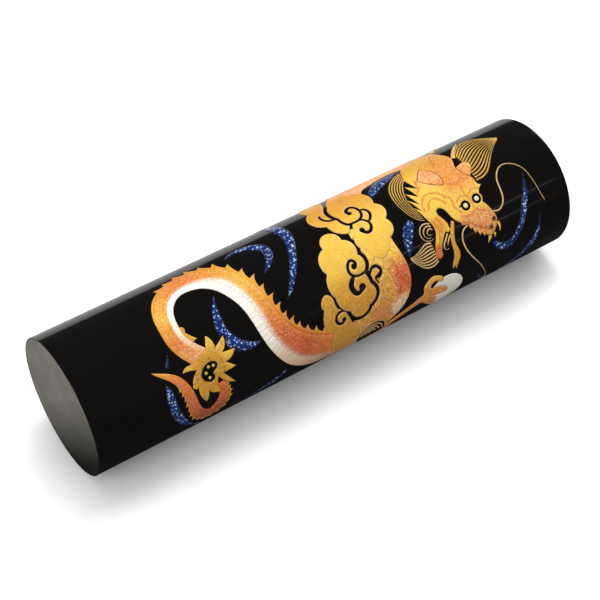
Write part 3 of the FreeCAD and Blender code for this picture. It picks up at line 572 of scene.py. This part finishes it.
def along_body(x, s):
    """Each point's station, length run in mm, and place across, from -1 at the crest to 1 at the belly."""
    near = np.array([LINE_TREE.find((a, b, 0))[1] for a, b in zip(x, s)])
    off = np.column_stack([x, s]) - LINE[near, :2]
    side = off[:, 1] * WAY[near, 0] - off[:, 0] * WAY[near, 1]
    run = LENGTH[near] + (off * WAY[near]).sum(1)
    return STATION[near], run, side / LINE[near, 2]


# Scales and belly plates, in mm.
SCALE_LENGTH = 0.62
SCALE_ROW = 0.46
PLATE_PITCH = 0.5


def scales(run, across, width):
    """Overlapping scales in staggered rows: 1 in the middle of a scale, 0 in the groove round it."""
    b = across * width / SCALE_ROW
    line = np.floor(b)
    a = run / SCALE_LENGTH + 0.5 * (line % 2)
    u = a - np.floor(a) - 0.5
    v = b - line - 0.5
    ring = np.hypot((u + 0.1) * 1.05, v * 0.95)
    return 1 - smooth(0.28, 0.5, ring)


def ribs(run):
    """Belly plates: 1 on a plate and 0 in the groove between two."""
    phase = run / PLATE_PITCH
    return smooth(0.0, 0.25, 0.5 - np.abs(phase - np.floor(phase) - 0.5))


# ---------------------------------------------------------------- painting

# A painter gives each point its colour, painted highlight and shade included on some pieces, and a carver its
# relief from 0 to 1, from x, s and depth in mm.

GOLD = rgb(230, 168, 50)
PALE_GOLD = rgb(250, 204, 76)
DEEP_GOLD = rgb(216, 156, 44)
AMBER = rgb(234, 152, 46)
YELLOW = (PALE_GOLD + AMBER) / 2
ORANGE = rgb(230, 128, 50)
RED_ORANGE = rgb(216, 94, 40)
PEACH = rgb(244, 174, 108)
CREAM = rgb(250, 236, 214)
SAND = rgb(238, 212, 180)
TAN = rgb(206, 164, 126)
SILVER = rgb(250, 244, 232)
DARK_RED = rgb(110, 32, 30)
BROWN = rgb(120, 66, 30)

# Colours along the body's back and its belly, by station of the centre line.
BACK_COLOURS = [
    (0, PEACH), (1, ORANGE), (2, AMBER), (3, YELLOW), (5, AMBER), (7, ORANGE), (9, AMBER), (11, YELLOW),
    (13, AMBER), (14, ORANGE), (15.5, RED_ORANGE * 0.6 + ORANGE * 0.4), (17, RED_ORANGE), (19, ORANGE),
    (22, AMBER), (30, PEACH), (36, PEACH),
]
BELLY_COLOURS = [
    (0, PEACH), (2, CREAM), (3, SILVER), (15, SILVER), (16, SAND), (19, TAN), (27, TAN), (30, PEACH),
    (36, PEACH),
]
# How far across, by station, the back's colour turns to silver.
WHITE_STATIONS = [0, 3, 6, 8, 10, 13, 15, 17, 22]
WHITE_FROM = [0.75, 0.7, 0.6, 0.5, 0.2, 0.25, 0.45, 0.6, 0.75]


def along_colours(station, table):
    """The table's colours at these stations, blended between its rows."""
    stations, colours = zip(*table)
    return np.column_stack([np.interp(station, stations, channel) for channel in zip(*colours)])


def paint_back(x, s, depth):
    station, run, across = along_body(x, s)
    width = np.interp(station, STATION, LINE[:, 2])
    colour = along_colours(station, BACK_COLOURS)
    white_from = np.interp(station, WHITE_STATIONS, WHITE_FROM)
    colour = blend(colour, SILVER, smooth(white_from - 0.45, white_from + 0.1, across))
    colour = blend(colour, PALE_GOLD, 0.3 * smooth(0.5, 0.9, -across))
    colour = colour * (1 + 0.16 * cloudy(x, s, 0.22, 3.1) + 0.08 * cloudy(x, s, 0.8, 7.7))[:, None]
    return colour * (0.95 + 0.08 * scales(run, across, width))[:, None]


def carve_scales(x, s, depth):
    station, run, across = along_body(x, s)
    return scales(run, across, np.interp(station, STATION, LINE[:, 2]))


def paint_belly(x, s, depth):
    station, run, _ = along_body(x, s)
    colour = along_colours(station, BELLY_COLOURS)
    groove = np.interp(station, [12, 16], [0.02, 0.12])
    return colour * (1 - groove * (1 - ribs(run)))[:, None] * (1 + 0.05 * cloudy(x, s, 0.3, 1.3))[:, None]


def carve_ribs(x, s, depth):
    _, run, _ = along_body(x, s)
    return ribs(run)


def paint_crest(x, s, depth):
    station, _, across = along_body(x, s)
    colour = blend(along_colours(station, BACK_COLOURS), GOLD, 0.75 * smooth(0.75, 1.1, np.abs(across)))
    return colour * (1 + 0.12 * cloudy(x, s, 0.3, 5.0))[:, None]


def paint_front(x, s, depth):
    colour = np.tile(GOLD, (len(x), 1))
    # Painted highlight and shade: paler gold on the upper part, deeper gold towards the underside.
    colour = blend(colour, PALE_GOLD, 1 - smooth(4.5, 7.5, s))
    colour = blend(colour, DEEP_GOLD, smooth(8.5, 11.5, s) * 0.6)
    colour = blend(colour, ORANGE, spot(x, s, (3.4, 11.6), 2.2) * 0.7)
    colour = blend(colour, AMBER, smooth(4.6, 5.4, x) * smooth(5.6, 6.8, s))
    red_band = smooth(6.6, 7.8, s) * (1 - smooth(9.8, 11.0, s))
    colour = blend(colour, RED_ORANGE, smooth(5.0, 5.9, x) * red_band)
    colour = blend(colour, SAND, spot(x, s, (5.9, 11.9), 1.9) * 0.75)
    colour = colour * (1 + 0.35 * cloudy(x, s, 0.17, 4.4) + 0.12 * cloudy(x, s, 0.7, 9.1))[:, None]
    colour = blend(colour, CREAM, 0.45 * smooth(0.25, 0.6, cloudy(x, s, 0.18, 41.0)) * smooth(4.0, 6.0, s))
    return blend(colour, BROWN, 0.55 * smooth(0.3, 0.6, cloudy(x, s, 0.22, 2.6)))


def carve_mottle(x, s, depth):
    """Soft lumps, as powder lies when it is sprinkled by hand."""
    return np.clip(0.7 + 0.5 * cloudy(x, s, 0.28, 6.2), 0, 1)


def paint_cloud(x, s, depth):
    colour = np.tile(GOLD, (len(x), 1))
    # Painted highlight and shade: paler gold in a band near the top of the barrel, deeper gold towards the
    # underside.
    colour = blend(colour, PALE_GOLD, smooth(-2.0, 2.5, s) * (1 - smooth(4.5, 7.0, s)))
    colour = blend(colour, AMBER, 0.6 * (1 - smooth(-4.0, -1.0, s)))
    colour = blend(colour, DEEP_GOLD, smooth(6.5, 9.0, s) * 0.8)
    # Painted highlight: a pale rim along the patch's edge, strongest at the outline.
    colour = blend(colour, CREAM, 0.12 * (1 - smooth(0.04, 0.22, depth)))
    wear = smooth(0.35, 0.6, cloudy(x, s, 0.5, 8.3)) * smooth(5.0, 8.0, s)
    colour = blend(colour, ORANGE, 0.4 * wear)
    specks = smooth(0.35, 0.6, cloudy(x, s, 0.2, 17.0)) * smooth(5.5, 8.0, s)
    colour = blend(colour, BROWN, 0.5 * specks)
    rough = 0.07 + 0.22 * smooth(5.0, 8.0, s)
    return colour * (1 + rough * cloudy(x, s, 0.2, 2.2) + 0.06 * cloudy(x, s, 1.4, 5.5))[:, None]


def stroke(x, s, points, width):
    """1 on a drawn line and 0 beyond its width."""
    line, _ = dense_line(points, 8)
    reach = np.hypot(x[:, None] - line[None, :, 0], s[:, None] - line[None, :, 1]).min(1)
    return 1 - smooth(0.4 * width, width, reach)


# Places on the head, and lines drawn on it, as x and s in mm.
EYES = [(16.35, 4.65), (17.92, 4.47)]
NOSTRILS = [(18.9, 7.2), (18.3, 7.9)]
WARTS = [(17.1, 7.35), (16.5, 7.0), (17.7, 7.6)]
CHEEK = (13.3, 4.6)
RIDGE_RADIUS = 0.85
FOLDS = [
    [(11.7, 3.3), (12.0, 2.4), (12.7, 1.8), (13.5, 1.8), (14.3, 2.2), (14.7, 2.9)],
    [(12.2, 3.4), (12.7, 2.7), (13.4, 2.5), (14.0, 2.9), (14.4, 3.6)],
    [(11.9, 4.6), (12.2, 5.5), (12.0, 6.5), (11.5, 7.4)],
    [(12.5, 4.5), (12.7, 5.3), (12.4, 6.1)],
    [(14.6, 2.8), (15.2, 3.3), (15.0, 4.2), (15.5, 5.1)],
    [(17.0, 2.6), (16.9, 3.5), (17.2, 4.3), (17.1, 5.2)],
    [(15.6, 3.9), (16.4, 3.55), (17.0, 3.8)],
    [(17.3, 3.75), (18.0, 3.3), (18.7, 3.6)],
    [(15.9, 1.6), (16.8, 2.1), (17.6, 1.7), (18.4, 2.1)],
    [(15.2, 6.1), (16.0, 6.5), (16.6, 7.1), (17.3, 7.6), (18.0, 8.0)],
    [(15.4, 5.5), (16.3, 5.8), (17.2, 5.5), (18.2, 6.0)],
    [(16.3, -1.2), (16.8, -2.4), (17.6, -3.6)],
    [(13.2, -0.6), (12.9, 0.4), (12.3, 1.2)],
]


def paint_head(x, s, depth):
    colour = np.tile(PALE_GOLD, (len(x), 1))
    colour = blend(colour, AMBER, smooth(14.4, 16.0, x) * (1 - smooth(1.8, 3.6, s)))
    colour = blend(colour, GOLD, 1 - smooth(-3.5, 0.0, s))
    colour = blend(colour, PEACH, 0.55 * spot(x, s, (14.3, 0.1), 1.7))
    colour = blend(colour, ORANGE, 0.55 * smooth(4.9, 6.2, s) * smooth(14.4, 15.4, x))
    colour = blend(colour, PEACH, 0.5 * spot(x, s, (17.2, 6.2), 1.3))
    colour = blend(colour, AMBER, 0.6 * spot(x, s, (12.4, 5.2), 1.4))
    colour = blend(colour, RED_ORANGE, 0.85 * spot(x, s, (11.25, 7.9), 1.3))
    colour = blend(colour, GOLD, 0.9 * smooth(7.9, 8.4, s) * smooth(14.0, 15.0, x))
    freckles = smooth(0.1, 0.5, cloudy(x, s, 0.24, 11.0))
    forehead = smooth(14.6, 16.2, x) * (1 - smooth(2.4, 3.4, s))
    snout = np.clip(smooth(5.2, 6.2, s) * smooth(14.6, 15.4, x) + 0.5 * forehead, 0, 1)
    colour = blend(colour, RED_ORANGE, 0.75 * freckles * snout)
    colour = blend(colour, CREAM, 0.6 * smooth(0.2, 0.55, cloudy(x, s, 0.2, 51.0)) * snout)
    colour = blend(colour, BROWN, 0.5 * smooth(0.25, 0.55, cloudy(x, s, 0.2, 61.0)) * snout)
    wander = 0.12 * cloudy(x, s, 0.5, 15.0)
    for line in FOLDS:
        colour = blend(colour, RED_ORANGE, 0.6 * stroke(x + wander, s + wander, line, 0.17))
    colour = blend(colour, CREAM, 0.3 * smooth(0.2, 0.5, cloudy(x, s, 0.22, 21.0)) * smooth(13.5, 15.5, x))
    flecks = smooth(0.15, 0.5, cloudy(x, s, 0.2, 33.0)) * (0.35 + 0.65 * smooth(13.5, 15.5, x))
    colour = blend(colour, RED_ORANGE, 0.4 * flecks)
    for centre in NOSTRILS:
        colour = blend(colour, DARK_RED, spot(x, s, centre, 0.42))
    for centre in WARTS:
        colour = blend(colour, RED_ORANGE * 0.7, 0.8 * spot(x, s, centre, 0.28))
    return colour * (1 + 0.10 * cloudy(x, s, 0.2, 3.9) + 0.06 * cloudy(x, s, 0.9, 1.7))[:, None]


def carve_head(x, s, depth):
    """Ridges round the eyes, folds along the cheek and pebbled skin."""
    lift = 0.75 + 0.25 * cloudy(x, s, 0.3, 12.5)
    for centre in EYES:
        ring = np.abs(np.hypot(x - centre[0], s - centre[1]) - RIDGE_RADIUS)
        lift = lift + 0.35 * (1 - smooth(0.0, 0.3, ring))
    folds = 1 - smooth(0.0, 0.3, np.abs(np.sin(1.9 * np.hypot(x - CHEEK[0], s - CHEEK[1]))))
    lift = lift - 0.35 * folds * (1 - smooth(3.4, 4.2, s)) * (1 - smooth(14.4, 15.2, x))
    return np.clip(lift, 0, 1)


def plain_paint(colour):
    """A painter for one colour, with a soft mottle."""
    def paint(x, s, depth):
        return colour[None, :] * (1 + 0.1 * cloudy(x, s, 0.25, 6.6))[:, None]
    return paint


def paint_ear(x, s, depth):
    colour = np.tile(PEACH, (len(x), 1))
    colour = blend(colour, AMBER, 0.7 * smooth(0.2, 0.9, s))
    colour = blend(colour, RED_ORANGE, 0.6 * smooth(0.0, 0.4, cloudy(x, s, 0.3, 13.0)))
    return colour * (1 + 0.2 * cloudy(x, s, 0.22, 6.1))[:, None]


TUFT = (-16.95, 8.4)


def paint_tuft(x, s, depth):
    reach = np.hypot(x - TUFT[0], (s - TUFT[1]) * 0.9)
    colour = blend(np.tile(DEEP_GOLD, (len(x), 1)), GOLD, smooth(0.9, 2.4, reach))
    colour = blend(colour, PALE_GOLD, 0.8 * smooth(1.5, 2.6, reach) * (1 - smooth(8.0, 10.0, s)))
    colour = blend(colour, BROWN, 0.45 * smooth(0.2, 0.55, cloudy(x, s, 0.3, 19.0)))
    return colour * (1 + 0.07 * cloudy(x, s, 0.3, 2.9))[:, None]


def carve_tuft(x, s, depth):
    """Creases that run out from the tuft's middle."""
    return 0.6 + 0.4 * np.cos(14 * np.arctan2(s - TUFT[1], x - TUFT[0]))


def paint_loop(x, s, depth):
    colour = np.tile(ORANGE, (len(x), 1))
    colour = blend(colour, RED_ORANGE, smooth(8.0, 12.0, s) * 0.8)
    colour = blend(colour, GOLD, 0.8 * (1 - smooth(6.2, 8.0, s)))
    # Painted shade: darker towards the underside, from s 11.5 to 13.5.
    colour = colour * (1 - 0.35 * smooth(11.5, 13.5, s))[:, None]
    return colour * (1 + 0.09 * cloudy(x, s, 0.25, 8.8))[:, None]


def paint_claw(x, s, depth):
    colour = np.tile(AMBER, (len(x), 1))
    colour = blend(colour, PALE_GOLD, 0.6 * (1 - smooth(10.6, 11.4, s)))
    colour = blend(colour, ORANGE, 0.5 * smooth(12.0, 13.5, s))
    colour = blend(colour, CREAM, 0.45 * smooth(0.25, 0.5, cloudy(x, s, 0.4, 9.9)))
    return colour * (1 + 0.12 * cloudy(x, s, 0.2, 7.2))[:, None]


def paint_pearl(x, s, depth):
    colour = blend(np.tile(SILVER, (len(x), 1)), PEACH, 0.35 * (1 - smooth(9.6, 11.4, x)))
    return colour * (0.9 + 0.05 * cloudy(x, s, 0.35, 5.3))[:, None]


def paint_stream(x, s, depth):
    """How thickly the flakes lie, as a grey: full in the middle and thin at the edges."""
    thick = smooth(0.0, 0.22, depth) * (0.75 + 0.35 * cloudy(x, s, 0.9, 4.9))
    return np.repeat(np.clip(thick, 0, 1)[:, None], 3, axis=1)


paint_hair = plain_paint(rgb(218, 170, 74))
paint_pale_hair = plain_paint(rgb(222, 184, 120))
paint_whisker = plain_paint(rgb(232, 196, 128))

# Each node's slot, painter, width of its pillowed edge and spacing of its points in mm, and carver.
DECORATION = {
    "rear_body": ("orange_gold_powder", paint_back, FLUSH, 0.09, carve_scales),
    "rear_belly": ("silver_powder", paint_belly, FLUSH, 0.09, carve_ribs),
    "rear_crest": ("gold_powder", paint_crest, FLUSH, 0.08, None),
    "front_body": ("orange_gold_powder", paint_front, FLUSH, 0.09, carve_mottle),
    "front_belly": ("silver_powder", paint_front, FLUSH, 0.09, carve_mottle),
    "neck_body": ("orange_gold_powder", paint_back, FLUSH, 0.1, carve_scales),
    "neck_belly": ("silver_powder", paint_belly, FLUSH, 0.1, carve_ribs),
    "neck_crest": ("gold_powder", paint_crest, FLUSH, 0.1, None),
    "leg_curl": ("gold_powder", paint_pale_hair, 0.1, 0.05, None),
    "foreleg": ("orange_gold_powder", paint_claw, 0.3, 0.09, carve_mottle),
    "claw": ("orange_gold_powder", paint_claw, 0.3, 0.08, carve_mottle),
    "pearl": ("silver_powder", paint_pearl, 0.9, 0.1, None),
    "tail_tuft": ("gold_powder", paint_tuft, 0.3, 0.07, carve_tuft),
    "tail_beads": ("gold_powder", plain_paint(PALE_GOLD), 0.16, 0.04, None),
    "tail_fin": ("gold_powder", plain_paint(GOLD), 0.2, 0.06, None),
    "tail_loop": ("orange_gold_powder", paint_loop, 0.4, 0.08, carve_mottle),
    "tail_loop_crest": ("gold_powder", plain_paint(GOLD), 0.2, 0.07, None),
    "upper_cloud": ("gold_powder", paint_cloud, 0.3, 0.09, None),
    "lower_cloud": ("gold_powder", paint_cloud, 0.3, 0.09, None),
    "small_cloud": ("gold_powder", paint_cloud, 0.3, 0.09, None),
    "cloud_ribbon": ("gold_powder", paint_cloud, 0.3, 0.09, None),
    "back_cloud": ("gold_powder", paint_cloud, 0.3, 0.1, None),
    "head": ("gold_powder", paint_head, 0.3, 0.08, carve_head),
    "left_ear": ("rose_gold_powder", paint_ear, 0.3, 0.07, carve_mottle),
    "right_ear": ("rose_gold_powder", paint_ear, 0.3, 0.07, carve_mottle),
    "pupils": ("gold_powder", plain_paint(rgb(246, 236, 180)), 0.2, 0.05, None),
    "horns": ("gold_powder", plain_paint(rgb(244, 190, 110)), 0.2, 0.06, None),
    "fangs": ("gold_powder", plain_paint(PALE_GOLD), 0.15, 0.05, None),
    "tongue": ("gold_powder", plain_paint(GOLD), 0.25, 0.06, carve_mottle),
    "mane_rear": ("gold_powder", paint_hair, 0.08, 0.06, None),
    "mane_front": ("gold_powder", paint_hair, 0.08, 0.06, None),
    "beard": ("gold_powder", paint_pale_hair, 0.08, 0.06, None),
    "cheek_curl": ("gold_powder", paint_pale_hair, 0.08, 0.05, None),
    "jaw_hooks": ("gold_powder", paint_whisker, 0.08, 0.05, None),
    "whisker_upper": ("gold_powder", paint_whisker, 0.08, 0.05, None),
    "whisker_lower": ("gold_powder", paint_whisker, 0.08, 0.05, None),
}

for node in sorted(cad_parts):
    if node.startswith("stream_"):
        blanket(node, "blue_glitter", paint_stream)
    elif node in DECORATION:
        blanket(node, *DECORATION[node])


# ---------------------------------------------------------------- floor, light and camera

# The floor lies under the decoration on the stick's underside.
FLOOR_DROP = 0.00006
FLOOR_REACH = 3.0
STICK_MIDDLE = (0, 0, RADIUS)


def floor_material():
    """Pale matte floor. Gloss sees it dark in front and grey behind, and it bounces little light back."""
    material, tree, shader = new_material("pale_floor")
    tone = map_range(tree, split_place(tree)["Y"], (0.0, 0.03, 0.035, 0.46))
    path = tree.nodes.new("ShaderNodeLightPath").outputs
    seen = mix(tree, (0.93, 0.93, 0.93, 1), tone, path["Is Glossy Ray"])
    bounced = mix(tree, seen, (0.40, 0.39, 0.38, 1), path["Is Diffuse Ray"])
    feed(tree, shader, {"Base Color": bounced, "Roughness": 1.0, "Specular IOR Level": 0.0})
    return material


def add_floor():
    mesh = bpy.data.meshes.new("floor")
    corners = [(x * FLOOR_REACH, y * FLOOR_REACH, 0) for x, y in ((-1, -1), (1, -1), (1, 1), (-1, 1))]
    mesh.from_pydata(corners, [], [(0, 1, 2, 3)])
    mesh.materials.append(floor_material())
    floor = bpy.data.objects.new("floor", mesh)
    floor.location.z = -FLOOR_DROP
    bpy.context.scene.collection.objects.link(floor)


def area_light(name, place, aim, size, power):
    light = bpy.data.lights.new(name, "AREA")
    light.shape = "DISK"
    light.size = size
    light.energy = power
    lamp = bpy.data.objects.new(name, light)
    lamp.location = place
    lamp.rotation_euler = (Vector(aim) - Vector(place)).to_track_quat("-Z", "Y").to_euler()
    bpy.context.scene.collection.objects.link(lamp)
    return lamp


add_floor()

# The key light isn't mirrored in the lacquer, and the two side lights are.
key = area_light("key", (0.13, 0.14, 0.66), STICK_MIDDLE, 0.36, 2.4)
key.visible_glossy = False
area_light("left_glow", (-0.55, -0.12, 0.42), STICK_MIDDLE, 0.30, 0.8)
area_light("right_glow", (0.55, 0.26, 0.34), STICK_MIDDLE, 0.30, 0.8)

# Two faint strips in front of the stick and beyond its far end, as thin reflections along its far half.
STRIP_X = 0.2675
STRIP_AIM = (STRIP_X, 0, 0.012)
STRIP_LENGTH = 0.125
STRIP_WIDTH = 0.022
for name, y, z, power in (("front_strip", -0.39, 0.255, 0.005), ("low_strip", -0.47, 0.10, 0.004)):
    strip = area_light(name, (STRIP_X, y, z), STRIP_AIM, STRIP_LENGTH, power)
    strip.data.shape = "RECTANGLE"
    strip.data.size_y = STRIP_WIDTH


def add_world():
    """White to the camera, pale to diffuse light and dark to gloss."""
    world = bpy.data.worlds.new("studio")
    bpy.context.scene.world = world
    world.use_nodes = True
    tree = world.node_tree
    path = tree.nodes.new("ShaderNodeLightPath").outputs
    lit = mix(tree, (0.88, 0.88, 0.88, 1), (0.07, 0.065, 0.06, 1), path["Is Glossy Ray"])
    feed(tree, tree.nodes["Background"], {"Color": mix(tree, lit, (1, 1, 1, 1), path["Is Camera Ray"])})


add_world()
bpy.context.scene.view_settings.view_transform = "Standard"

# The camera stands to the front left and above, and aims a little left of the stick's middle and below it.
AZIMUTH = math.radians(-34.27)
ELEVATION = math.radians(46.20)
DISTANCE = 0.15911
AIM_LEFT = 0.00147
AIM_DOWN = 0.00167


def add_camera():
    level = math.cos(ELEVATION)
    back = Vector((math.sin(AZIMUTH) * level, -math.cos(AZIMUTH) * level, math.sin(ELEVATION)))
    right = Vector((math.cos(AZIMUTH), math.sin(AZIMUTH), 0))
    up = back.cross(right)
    aim = Vector(STICK_MIDDLE) - AIM_LEFT * right - AIM_DOWN * up
    lens = bpy.data.cameras.new("camera")
    lens.sensor_width = 36
    lens.lens = 90.39
    lens.clip_start = 0.005
    camera = bpy.data.objects.new("camera", lens)
    turn = Matrix((right, up, back)).transposed().to_4x4()
    camera.matrix_world = Matrix.Translation(aim + DISTANCE * back) @ turn
    bpy.context.scene.collection.objects.link(camera)
    bpy.context.scene.camera = camera


add_camera()
